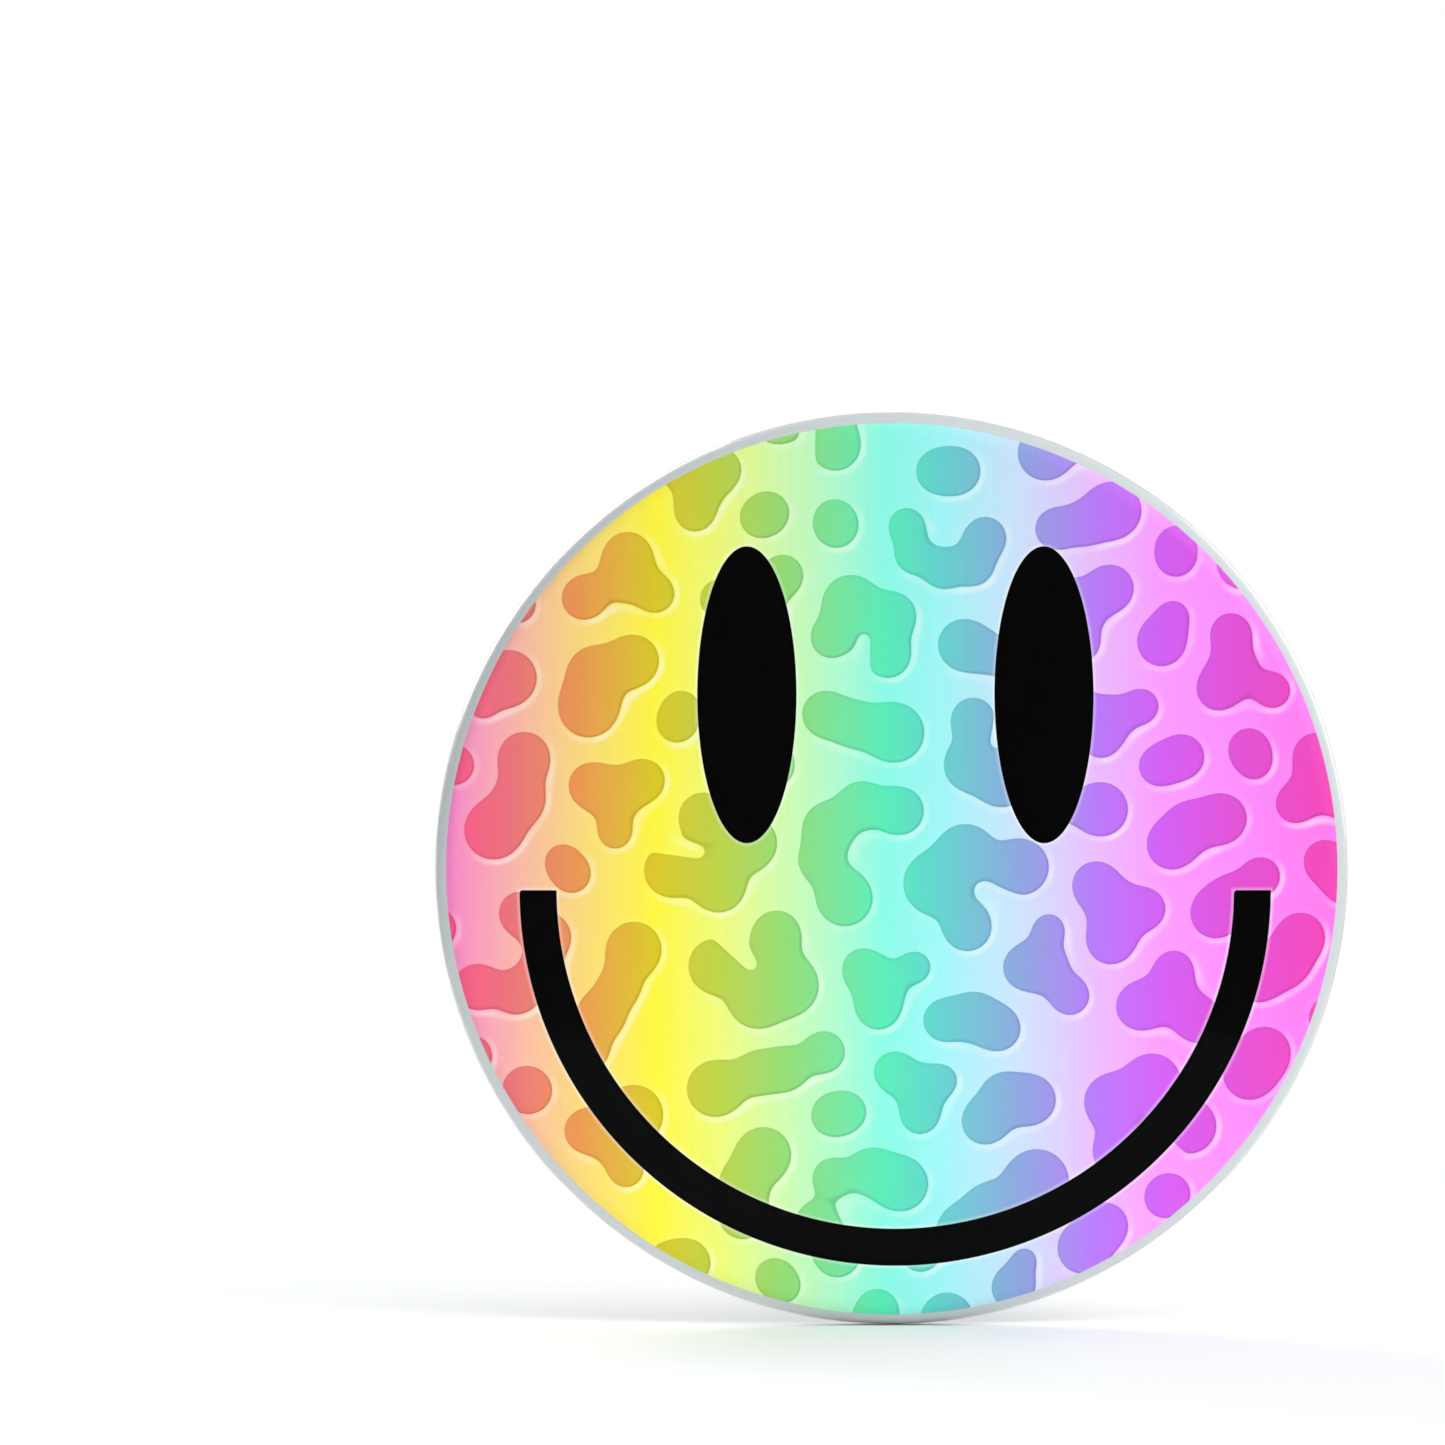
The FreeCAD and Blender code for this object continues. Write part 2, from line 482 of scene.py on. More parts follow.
GLUE = ((198, 190, 164), (226, 222, 204))
FLOOR_WHITE = ((247, 247, 246), (251, 251, 251))

# The painted reflection on the plate's band: which way it lies from the axis, and where it fades in
REFLECTION_X = -0.80
REFLECTION_Z = 0.60
REFLECTION_START = 26.90
REFLECTION_FULL = 27.25
DASH_SLANT = -0.035


def dark_tinplate():
    """Polished dark tinplate: radial press scratches, wear specks, painted highlights and reflections,
    reddish near the magnet.
    """
    mat = Shader("dark_tinplate")
    radius = mat.axis_distance()
    streaks = mat.ring_noise(radius, 150.0, 0.9, 4.0, 0.7)
    fine_streaks = mat.ring_noise(radius, 240.0, 1.3)
    clouds = mat.noise(0.16, 3.0)
    patches = mat.ring_noise(radius, 9.0, 0.6, 3.0)

    colour = mat.mix(mat.fit(streaks, 0.28, 0.72), *BROWN_STEEL)
    olive = mat.ease(clouds, 0.42, 0.62, 0, 0.7)
    colour = mat.mix(olive, colour, mat.mix(streaks, *OLIVE_STEEL))
    red = mat.mix(streaks, *RED_STEEL)
    red = mat.mix(mat.fit(patches, 0.45, 0.7), red, DULL_RED_STEEL)
    inner = mat.ease(radius, FLOOR_RADIUS - 0.05, FLOOR_RADIUS - 0.30, 0, 0.95)
    colour = mat.mix(inner, colour, red)
    # A painted reflection: a grey stretch on the band
    painted_reflection = mat.times(painted_reflection_patch(mat, radius), mat.fit(streaks, 0.3, 0.6, 0.55, 1))
    colour = mat.mix(painted_reflection, colour, REFLECTION_GREY_STEEL)

    # Painted highlights along the step's two edges
    upper_highlight, lower_highlight = step_highlights(mat, radius, streaks, patches)
    # A painted sheen on the step's wall
    wall = mat.times(mat.near_radius(radius, STEP_RADIUS - 0.04, 0.14, 0.24), 0.34)
    wall = mat.times(wall, mat.fit(streaks, 0.35, 0.65, 0.2, 1))
    # A painted highlight on the bead's crest, and a painted reflection of the paper just outside it
    bead_crest = WALL_RADIUS - BEAD_BEND
    crest_highlight = mat.near_radius(radius, bead_crest + 0.03, 0.02, 0.07)
    glint = mat.near_radius(radius, bead_crest + 0.17, 0.03, 0.11)
    glint = mat.times(glint, mat.ease(patches, 0.50, 0.62, 0.05, 0.55))
    specks = mat.fit(mat.noise(7.0), 0.71, 0.75, 0, 0.6)
    # The painted highlights, with real wear specks
    wear_and_highlight = mat.most(crest_highlight, upper_highlight, lower_highlight, wall, specks)
    colour = mat.mix(wear_and_highlight, colour, HIGHLIGHT_AND_WEAR_STEEL)
    colour = mat.mix(glint, colour, GLINT)

    roughness = mat.spread(streaks, 0.18, 0.36)
    roughness = mat.times_plus(crest_highlight, 0.12, roughness)
    roughness = mat.times_plus(painted_reflection, 0.15, roughness)
    height = mat.times_plus(fine_streaks, 0.4, streaks)
    height = mat.times(height, mat.math("SUBTRACT", 1.0, crest_highlight))
    # The painted highlights and reflection are less metallic, so that they show under any light
    dull = mat.most(wall, glint, upper_highlight, lower_highlight)
    metallic = mat.times_plus(dull, -0.8, 1.0)
    return mat.finish(colour, roughness, mat.bump(height, 0.5, 0.02), Metallic=metallic)


def step_highlights(mat, radius, streaks, patches):
    """Painted highlights along the step's two edges, broken into short slanted dashes."""
    swirl = mat.times(mat.math("SUBTRACT", radius, STEP_RADIUS), DASH_SLANT)
    slanted_x = mat.times_plus(mat.times(swirl, mat.z), -1.0, mat.x)
    slanted_z = mat.times_plus(swirl, mat.x, mat.z)
    slanted = mat.ring_noise(radius, 300.0, 0.5, 1.0, x=slanted_x, z=slanted_z)
    dashes = mat.ease(slanted, 0.50, 0.64, 0, 0.85)
    dashes = mat.times(dashes, mat.ease(patches, 0.36, 0.52, 0.25, 1))
    upper = mat.times(mat.near_radius(radius, STEP_RADIUS + 0.02, 0.06, 0.22), dashes)
    fainter = mat.times(dashes, mat.fit(streaks, 0.40, 0.60, 0.1, 0.8))
    lower = mat.times(mat.near_radius(radius, STEP_RADIUS - 0.22, 0.04, 0.13), fainter)
    return upper, lower


def painted_reflection_patch(mat, radius):
    """A painted reflection that greys the band along its bead: a stretch at the upper right as seen from
    behind.
    """
    along = mat.times_plus(mat.x, REFLECTION_X, mat.times(mat.z, REFLECTION_Z))
    share = mat.math("DIVIDE", along, radius)
    ragged = mat.ring_noise(radius, 60.0, 0.6, 4.0, 0.7)
    outer = mat.ease(mat.times_plus(ragged, -1.1, radius), REFLECTION_START, REFLECTION_FULL)
    return mat.times(outer, mat.ease(share, 0.78, 0.95, 0, 0.9))


def magnet_rubber():
    """Flexible magnet sheet: matte charcoal with a painted sheen that is paler to one side, a mineral
    grain and rolling bands.
    """
    mat = Shader("magnet_rubber")
    grain = mat.noise(5.0, 5.0, 0.65)
    fine = mat.noise(16.0)
    bands = mat.streaked_noise(1.0, 1.0, (1.9, 0.1, 0.05))
    clouds = mat.noise(0.05)
    coarse = mat.spread(grain, 0, 1)
    # Painted sheen: paler to one side, greener further that way
    across = mat.math("SUBTRACT", mat.times(mat.z, 0.1), mat.x)
    sheen_side = mat.ease(mat.times_plus(clouds, 10.0, across), -18, 17, 0, 0.97)
    grey = mat.mix(coarse, *SHEEN_GREY_RUBBER)
    pale = mat.mix(mat.fit(across, 0, 16), grey, mat.mix(coarse, *SHEEN_GREEN_RUBBER))
    colour = mat.mix(sheen_side, mat.mix(coarse, *DARK_RUBBER), pale)
    colour = mat.mix(mat.fit(bands, 0.35, 0.65, 0, 0.08), colour, ROLLED_BAND)
    # Painted highlight and wear along the magnet's rim, patchy
    wear_and_highlight = mat.fit(mat.noise(1.6, 3.0), 0.35, 0.65, 0.1, 0.8)
    rim = mat.times(mat.ease(mat.attribute("edge"), -0.24, -0.06), wear_and_highlight)
    colour = mat.mix(rim, colour, RIM_WEAR_AND_HIGHLIGHT)
    colour = mat.mix(mat.fit(fine, 0.35, 0.65, 0, 0.22), colour, RUBBER_PIT)
    colour = mat.mix(mat.fit(fine, 0.70, 0.76, 0, 0.45), colour, RUBBER_SPECK)
    bump = mat.bump(mat.times_plus(fine, 0.5, grain), 0.45, 0.02)
    return mat.finish(colour, mat.spread(grain, 0.52, 0.70), bump, Specular_IOR_Level=0.15)


def bright_tinplate():
    """The hidden shell's tinplate, with the faint rings of its drawing die."""
    mat = Shader("bright_tinplate")
    rings = mat.ring_noise(mat.axis_distance(), 0.5, 9.0, 3.0)
    clouds = mat.noise(0.3, 3.0)
    colour = mat.mix(rings, *SHELL_STEEL)
    colour = mat.mix(mat.fit(clouds, 0.5, 0.8, 0, 0.4), colour, CLOUDY_STEEL)
    return mat.finish(colour, mat.spread(rings, 0.22, 0.38), mat.bump(rings, 0.2, 0.01), Metallic=1.0)


def dried_glue():
    """The hidden glue film under the magnet, with its uneven spread."""
    mat = Shader("dried_glue")
    spread = mat.noise(0.5, 4.0)
    fine = mat.noise(3.0, 3.0)
    return mat.finish(mat.mix(spread, *GLUE), mat.spread(fine, 0.3, 0.5), mat.bump(spread, 0.4, 0.05))


def pale_floor():
    mat = Shader("pale_floor")
    clouds = mat.noise(0.02)
    colour = mat.mix(clouds, *FLOOR_WHITE)
    return mat.finish(colour, mat.fit(clouds, 0, 1, 0.85, 0.95), Specular_IOR_Level=0.1)


# ---- mesh helpers


def add_piece(name, node, points, faces, materials, attributes, normals=None, face_materials=None):
    """Makes a piece from points in millimetres. It rides on the badge's body in place of a CAD node."""
    mesh = bpy.data.meshes.new(name)
    mesh.from_pydata((points * MM).tolist(), [], faces)
    for material in materials:
        mesh.materials.append(material)
    if face_materials is not None:
        mesh.polygons.foreach_set("material_index", face_materials.astype(np.int32))
    for key, values in attributes.items():
        layer = mesh.attributes.new(key, "FLOAT", "POINT")
        layer.data.foreach_set("value", values.astype(np.float32))
    mesh.shade_smooth()
    if normals is None:
        mesh.set_sharp_from_angle(angle=math.radians(SHARP_ANGLE))
    else:
        mesh.normals_split_custom_set_from_vertices(normals.tolist())
    mesh.update()
    piece = show_in_scene(name, mesh)
    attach(piece, "root")
    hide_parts(node)


def turns(segments):
    """The angles of a ring's points, in radians."""
    return np.arange(segments) * (2 * math.pi / segments)


def ring(radius, y, segments):
    """A closed ring of points round the axis. radius and y have one value, or one for each point."""
    turn = turns(segments)
    return np.column_stack([radius * np.cos(turn), np.broadcast_to(y, turn.shape), radius * np.sin(turn)])


def pole(y):
    """A ring of one point, on the axis."""
    return np.array([[0.0, y, 0.0]])


def bridge(first, first_count, second, second_count):
    """Faces between two rings, of which either may be a pole or several times as fine as the other."""
    if first_count == 1:
        return [[first, second + k, second + (k + 1) % second_count] for k in range(second_count)]
    if second_count == 1:
        return [[second, first + (k + 1) % first_count, first + k] for k in range(first_count)]
    faces = []
    coarse = min(first_count, second_count)
    for k in range(coarse):
        near = ring_run(first, first_count, k, coarse)
        far = ring_run(second, second_count, k, coarse)
        faces.append([*reversed(near), *far])
    return faces


def ring_run(start, count, k, coarse):
    """The points of one coarse step of a ring, both ends included."""
    share = count // coarse
    return [start + (k * share + i) % count for i in range(share + 1)]


def joined(rings):
    """Points and faces of a surface through rings, and which gap between two rings each face fills."""
    starts = np.concatenate([[0], np.cumsum([len(points) for points in rings])])
    faces = []
    face_rings = []
    for k in range(len(rings) - 1):
        made = bridge(int(starts[k]), len(rings[k]), int(starts[k + 1]), len(rings[k + 1]))
        faces += made
        face_rings += [k] * len(made)
    return np.vstack(rings), faces, np.array(face_rings)


def skin(rings):
    """The same for a closed surface that starts and ends at a pole. Its faces are made to face out."""
    points, faces, face_rings = joined(rings)
    corners = np.array([face[:3] for face in faces])
    a, b, c = (points[corners[:, k]] for k in range(3))
    volume = np.einsum("ij,ij->i", a, np.cross(b, c)).sum()
    if volume <= 0:
        faces = [face[::-1] for face in faces]
    return points, faces, face_rings


def smooth_step(low, high, value):
    share = np.clip((value - low) / (high - low), 0, 1)
    return share * share * (3 - 2 * share)


# ---- the wrap's section


def wrap_arcs():
    """The wrap's outer surface from crown to fold, as (centre, radius, start, end) in degrees."""
    dome_y = CROWN_Y + DOME_RADIUS
    shoulder_x = BADGE_RADIUS - SHOULDER_RADIUS
    reach = DOME_RADIUS - SHOULDER_RADIUS
    dome_turn = math.degrees(math.asin(shoulder_x / reach))
    shoulder_y = dome_y - math.sqrt(reach**2 - shoulder_x**2)
    side_x = BADGE_RADIUS - SIDE_RADIUS
    lean = math.radians(SIDE_LEAN)
    fold_x = side_x + (SIDE_RADIUS - FOLD_RADIUS) * math.cos(lean)
    fold_y = shoulder_y + (SIDE_RADIUS - FOLD_RADIUS) * math.sin(lean)
    return {
        "dome": ((0.0, dome_y), DOME_RADIUS, -90.0, -90.0 + dome_turn),
        "shoulder": ((shoulder_x, shoulder_y), SHOULDER_RADIUS, -90.0 + dome_turn, 0.0),
        "side": ((side_x, shoulder_y), SIDE_RADIUS, 0.0, SIDE_LEAN),
        "fold": ((fold_x, fold_y), FOLD_RADIUS, SIDE_LEAN, 180.0),
    }


WRAP = wrap_arcs()
WALL_RADIUS = WRAP["fold"][0][0] - FOLD_RADIUS - BEAD_CLEARANCE


def arc_direction(degrees):
    """An angle's direction in the section. Past a quarter turn it is squared off, as paper creases."""
    turn = math.radians(degrees)
    cos, sin = math.cos(turn), math.sin(turn)
    if degrees <= 90:
        return np.array([cos, sin])
    return np.array([-(abs(cos) ** FOLD_SQUARENESS), abs(sin) ** FOLD_SQUARENESS])


def arc_stations(name, count):
    """Stations along a named arc after its start: place, outward direction and angle, in the section."""
    centre, radius, start, end = WRAP[name]
    found = []
    for k in range(1, count + 1):
        degrees = start + (end - start) * k / count
        away = arc_direction(degrees)
        found.append((np.array(centre) + radius * away, away, degrees))
    return found


def front_stations(dome_count):
    crown = (np.array([0.0, CROWN_Y]), np.array([0.0, -1.0]), -90.0)
    return [crown] + arc_stations("dome", dome_count) + arc_stations("shoulder", SHOULDER_STATIONS)


def back_stations():
    """Stations over the fold and down its tucked end."""
    found = arc_stations("side", SIDE_STATIONS) + arc_stations("fold", FOLD_STATIONS)
    place, away, degrees = found[-1]
    for share in TUCK_SHARES:
        found.append((place - np.array([0, TUCK_DEPTH * share]), away, degrees))
    return found


# ---- the pleats


class Pleats:
    """How the wrap gathers where it turns in: one value per fine segment round the badge.

    lift raises the pleats' lobes and sinks the creases between them, and recess is how far the
    folded edge stands off the plate's bead. The recess is widest on one side of the badge.
    """

    COUNT = 58
    TIGHT_SHARE = 0.18
    TIGHT_WIDTH = 0.45
    CREASE_HALF_WIDTH = 0.17
    CREASE_DEPTH = 0.10
    LOBE_HEIGHT = 0.035
    LOBE_ROUNDNESS = 0.7
    RISING_SHARE = 0.7
    LEAST_RECESS = 0.01
    MOST_RECESS = 0.17
    WIDE_SIDE = -45.0
    WIDER = 0.4
    NOTCH = 0.14

    def __init__(self, seed):
        rng = np.random.default_rng(seed)
        steps = rng.uniform(0.7, 1.3, self.COUNT)
        tight = rng.random(self.COUNT) < self.TIGHT_SHARE
        steps[tight] *= self.TIGHT_WIDTH
        ends = np.cumsum(steps) / steps.sum() * FINE_SEGMENTS
        ends = np.round(ends).astype(int)
        column = np.arange(FINE_SEGMENTS)
        pleat = np.searchsorted(ends, column, side="right")
        starts = np.concatenate([[0], ends[:-1]])
        share = (column - starts[pleat]) / (ends - starts)[pleat]
        width = (ends - starts)[pleat] * (2 * math.pi * BADGE_RADIUS / FINE_SEGMENTS)
        to_crease = np.minimum(share, 1 - share) * width
        depth = rng.uniform(0.35, 1.0, self.COUNT)
        nearest = np.where(share < 0.5, pleat, (pleat + 1) % self.COUNT)
        self.crease = np.clip(1 - to_crease / self.CREASE_HALF_WIDTH, 0, 1) * depth[nearest]
        size = rng.uniform(0.3, 1.0, self.COUNT)[pleat]
        lobe = np.sin(math.pi * share) ** self.LOBE_ROUNDNESS * size
        self.lift = self.LOBE_HEIGHT * lobe - self.CREASE_DEPTH * self.crease
        low = rng.uniform(0.0, 0.5, self.COUNT)
        high = rng.uniform(0.5, 1.0, self.COUNT)
        rising = rng.random(self.COUNT) < self.RISING_SHARE
        first = np.where(rising, low, high)[pleat]
        last = np.where(rising, high, low)[pleat]
        off = turns(FINE_SEGMENTS) - math.radians(self.WIDE_SIDE)
        most = self.MOST_RECESS * (1 + self.WIDER * np.cos(off))
        recess = self.LEAST_RECESS + (most - self.LEAST_RECESS) * (first + (last - first) * share)
        self.recess = recess + self.NOTCH * self.crease


PLEATS = Pleats(seed=11)


def wrap_ring(station, inset, segments):
    """One ring of the wrap at an inset from its outer surface, and how much painted shade each of its
    points gets from the creases and the fold's inner side.
    """
    (x, y), (out_x, out_y), degrees = station
    x = x - inset * out_x
    y = y - inset * out_y
    if x < TINY:
        return pole(y), np.zeros(1)
    if segments == COARSE_SEGMENTS:
        return ring(x, y, segments), np.zeros(segments)
    give = 1 - inset / STIFF_INSET
    lift = PLEATS.lift * (smooth_step(*GATHERED, degrees) * give)
    radius = x + lift * out_x + PLEATS.recess * (smooth_step(*TURNED_IN, degrees) * give)
    # Painted shade: along the creases, and on the fold's inner side from IN_SHADE on
    crease = PLEATS.crease * smooth_step(*CREASED, degrees)
    crease = np.maximum(crease, smooth_step(*IN_SHADE, degrees))
    return ring(radius, y + lift * out_y, segments), crease


def wrap_layer(name, node, outer, inner, materials, dome_count):
    """A closed layer of the wrap between two insets, from crown to tucked end and back to the crown."""
    stations = [(station, COARSE_SEGMENTS) for station in front_stations(dome_count)]
    stations += [(station, FINE_SEGMENTS) for station in back_stations()]
    rings = []
    creases = []
    for inset, order in ((outer, 1), (inner, -1)):
        for station, segments in stations[::order]:
            points, crease = wrap_ring(station, inset, segments)
            rings.append(points)
            creases.append(crease)
    points, faces, face_rings = skin(rings)
    inside = face_rings >= len(rings) // 2
    face_materials = inside if len(materials) > 1 else None
    # crease carries the painted shade of the creases and of the fold's inner side
    attributes = {"crease": np.concatenate(creases)}
    add_piece(name, node, points, faces, materials, attributes, face_materials=face_materials)


def add_wrap():
    """The film, whose underside hardly mirrors, and the paper."""
    film = [clear_gloss("clear_film", 1.0), clear_gloss("film_underside", 0.1)]
    wrap_layer("film_wrap", "clear_film", 0.0, FILM_INSIDE, film, FILM_DOME_STATIONS)
    paper = [white_paper()]
    wrap_layer("paper_wrap", "printed_paper", PAPER_OUTSIDE, PAPER_INSIDE, paper, PAPER_DOME_STATIONS)


# ---- the spots


# A generic animal print of the builder's own making. Each kind of spot has how many there are,
# a few overlapping circles as (x, z, radius), and for some the two ends of a narrow bite.
SPOT_KINDS = {
    "hook": (
        5,
        [(-2.4, -0.8, 1.1), (-0.9, -2.3, 1.0), (1.25, -2.1, 1.0), (2.5, -0.4, 1.05), (1.9, 1.7, 1.3)],
        [],
    ),
    "slit": (
        7,
        [(-1.7, 1.5, 1.3), (0.9, 1.7, 1.35), (1.9, -0.5, 1.4), (-0.2, -1.9, 1.2)],
        [(-2.5, -0.3, 0.55), (-0.4, 0.1, 0.3)],
    ),
    "long": (4, [(-3.6, 1.7, 1.0), (-1.7, 0.7, 1.1), (0.4, 0.1, 1.15), (2.6, -1.1, 1.6)], []),
    "peanut": (6, [(-1.8, 0.2, 1.5), (0, 0, 0.95), (1.9, 0.1, 1.15)], []),
    "bean": (10, [(-1.7, -0.4, 1.3), (0, 0.4, 1.1), (1.6, -0.2, 1.35)], []),
    "heart": (10, [(-1.45, 1.0, 1.15), (1.6, 0.85, 1.05), (0.1, -1.5, 0.8), (0, 0, 0.9)], []),
    "clover": (9, [(-1.9, -0.8, 1.05), (0.2, 1.3, 1.15), (1.8, -1.0, 0.95), (0, 0, 1.0)], []),
    "oval": (10, [(-0.7, 0, 1.25), (0.7, 0.1, 1.1)], []),
    "drop": (8, [(-0.6, 0, 1.3), (1.3, 0.4, 0.6)], []),
    "pebble": (12, [(-0.2, 0, 0.95), (0.5, 0.1, 0.75)], []),
}


class Spots:
    """The animal print: spots thrown on a disc and pushed apart until each has room round it."""

    SPREAD = 31.0
    ROOM_AT_FIRST = 2.3
    ROOM_AT_LAST = 1.45
    PUSHES = 260
    SETTLED_AT = 0.7
    EASE = 0.35
    MOST_TWIST = 0.3
    CIRCLE_WEIGHT = 0.6
    JITTER = 0.14
    SIZE_JITTER = 0.6
    WAIST = 0.68
    BITE_WAIST = 0.10
    BITE_STEPS = 9
    FAR_OFF = 5.0
    LONGEST_REACH = 9.5
    NOT_ZERO = 1e-9

    def __init__(self, seed):
        self.rng = np.random.default_rng(seed)
        self.circles = []
        self.bites = []
        for count, circles, bites in SPOT_KINDS.values():
            for _ in range(count):
                self.add_varied(circles, bites)
        self.push_apart()

    def add_varied(self, circles, bites):
        """Adds a spot round its own middle, a little bent, stretched and perhaps mirrored."""
        circles, bites = (np.array(part, dtype=float).reshape(-1, 3) for part in (circles, bites))
        if len(bites):
            bites = np.linspace(bites[0], bites[1], self.BITE_STEPS)
        circles += self.rng.normal(0, self.JITTER, circles.shape) * [1, 1, self.SIZE_JITTER]
        middle = circles[:, :2].mean(0)
        size = self.rng.uniform(1.0, 1.3)
        stretch = self.rng.uniform(0.92, 1.1)
        mirror = self.rng.choice([-1, 1])
        for part in (circles, bites):
            part[:, :2] = (part[:, :2] - middle) * [stretch * size, mirror * size / stretch]
            part[:, 2] *= size
        self.circles.append(circles)
        self.bites.append(bites)

    def push_apart(self):
        """Throws the spots, then moves and turns each a little at a time, away from those too near it."""
        count = len(self.circles)
        spot = np.repeat(np.arange(count), [len(c) for c in self.circles])
        circles = np.vstack(self.circles)
        turn = self.rng.uniform(0, 2 * math.pi, count)
        away = self.SPREAD * np.sqrt(self.rng.random(count))
        bearing = self.rng.uniform(0, 2 * math.pi, count)
        place = np.column_stack([away * np.cos(bearing), away * np.sin(bearing)])
        others = spot[:, None] != spot[None, :]
        reach = circles[:, 2][:, None] + circles[:, 2][None, :]
        weight = np.bincount(spot) * self.CIRCLE_WEIGHT
        for k in range(self.PUSHES):
            settled = min(1, k / (self.SETTLED_AT * self.PUSHES))
            room = self.ROOM_AT_FIRST + (self.ROOM_AT_LAST - self.ROOM_AT_FIRST) * settled
            arm = rotated(circles[:, :2], turn[spot])
            between = (place[spot] + arm)[:, None] - (place[spot] + arm)[None]
            distance = np.hypot(between[..., 0], between[..., 1]) + self.NOT_ZERO
            short = np.clip(room - (distance - reach), 0, None) * others
            push = (between / distance[..., None] * short[..., None]).sum(1) * 0.5
            shift = np.column_stack([np.bincount(spot, push[:, axis]) for axis in (0, 1)])
            twist = np.bincount(spot, arm[:, 0] * push[:, 1] - arm[:, 1] * push[:, 0])
            stiffness = np.bincount(spot, (arm**2).sum(1) + 1)
            place += self.EASE * shift / np.maximum(1, weight)[:, None]
            turn += self.EASE * np.clip(twist / stiffness, -self.MOST_TWIST, self.MOST_TWIST)
            place *= np.minimum(1, self.SPREAD / np.hypot(*place.T))[:, None]
        for k in range(count):
            for part in (self.circles[k], self.bites[k]):
                part[:, :2] = rotated(part[:, :2], np.full(len(part), turn[k])) + place[k]

    def edge_distance(self, points):
        """How far each point lies outside the nearest spot, and less than 0 inside one."""
        found = np.full(len(points), self.FAR_OFF)
        for circles, bites in zip(self.circles, self.bites):
            middle = circles[:, :2].mean(0)
            near = np.hypot(*(points - middle).T) < self.LONGEST_REACH
            found[near] = np.minimum(found[near], self.one_spot(circles, bites, points[near]))
        return found

    def one_spot(self, circles, bites, points):
        away = blended(circle_distances(circles, points), self.WAIST)
        if len(bites):
            bite = blended(circle_distances(bites, points), self.BITE_WAIST)
            away = -blended(np.column_stack([-away, bite]), self.BITE_WAIST)
        return away


def rotated(points, turn):
    x, z = points.T
    cos, sin = np.cos(turn), np.sin(turn)
    return np.column_stack([x * cos - z * sin, x * sin + z * cos])


def circle_distances(circles, points):
    across = points[:, None, 0] - circles[:, 0]
    up = points[:, None, 1] - circles[:, 1]
    return np.hypot(across, up) - circles[:, 2]


def blended(distances, waist):
    """The least of each row, with the corners between shapes rounded over about waist."""
    least = distances.min(1)
    return least - waist * np.log(np.exp((least[:, None] - distances) / waist).sum(1))


SPOTS = Spots(seed=2)


# ---- the printed picture


def ink_distance(points):
    """How far each point lies outside the eyes and the mouth, and less than 0 inside them."""
    x = points[:, 0] - FACE_SHIFT
    z = points[:, 1]
    found = []
    for eye_x in (-EYE_SPREAD, EYE_SPREAD):
        across = x - eye_x
        up = z - EYE_HEIGHT
        scaled = np.hypot(across / EYE_HALF_WIDTH, up / EYE_HALF_HEIGHT)
        slope = np.hypot(across / EYE_HALF_WIDTH**2, up / EYE_HALF_HEIGHT**2)
        found.append(scaled * (scaled - 1) / np.maximum(slope, TINY))
    away = np.hypot(x, z - MOUTH_HEIGHT)
    middle = (MOUTH_OUTER + MOUTH_INNER) / 2
    band = np.abs(away - middle) - (MOUTH_OUTER - MOUTH_INNER) / 2
    found.append(np.maximum(band, z - MOUTH_HEIGHT))
    return np.min(found, axis=0)


def outside_circle(radius):
    return lambda points: np.hypot(*points.T) - radius


def slope_of(level, points):
    found = []
    for shift in np.diag([SLOPE_STEP, SLOPE_STEP]):
        found.append((level(points + shift) - level(points - shift)) / (2 * SLOPE_STEP))
    return np.column_stack(found)


def lattice(radius, cell):
    """Points and triangles of an even triangular lattice that covers a disc."""
    row_height = cell * math.sqrt(3) / 2
    across = int(radius / cell) + 2
    up = int(radius / row_height) + 2
    columns = np.arange(-across, across + 1)
    rows = np.arange(-up, up + 1)
    points = []
    for row in rows:
        x = (columns + 0.5 * (row % 2)) * cell
        points.append(np.column_stack([x, np.full(len(columns), row * row_height)]))
    width = len(columns)
    triangles = []
    for k, row in enumerate(rows[:-1]):
        low = k * width + np.arange(width - 1)
        high = low + width
        if row % 2 == 0:
            pair = (low, low + 1, high), (low + 1, high + 1, high)
        else:
            pair = (low, low + 1, high + 1), (low, high + 1, high)
        triangles += [np.column_stack(corners) for corners in pair]
    points = np.vstack(points)
    triangles = np.vstack(triangles)
    near = np.hypot(*points.T)[triangles].min(1) < radius + cell
    return points, triangles[near]


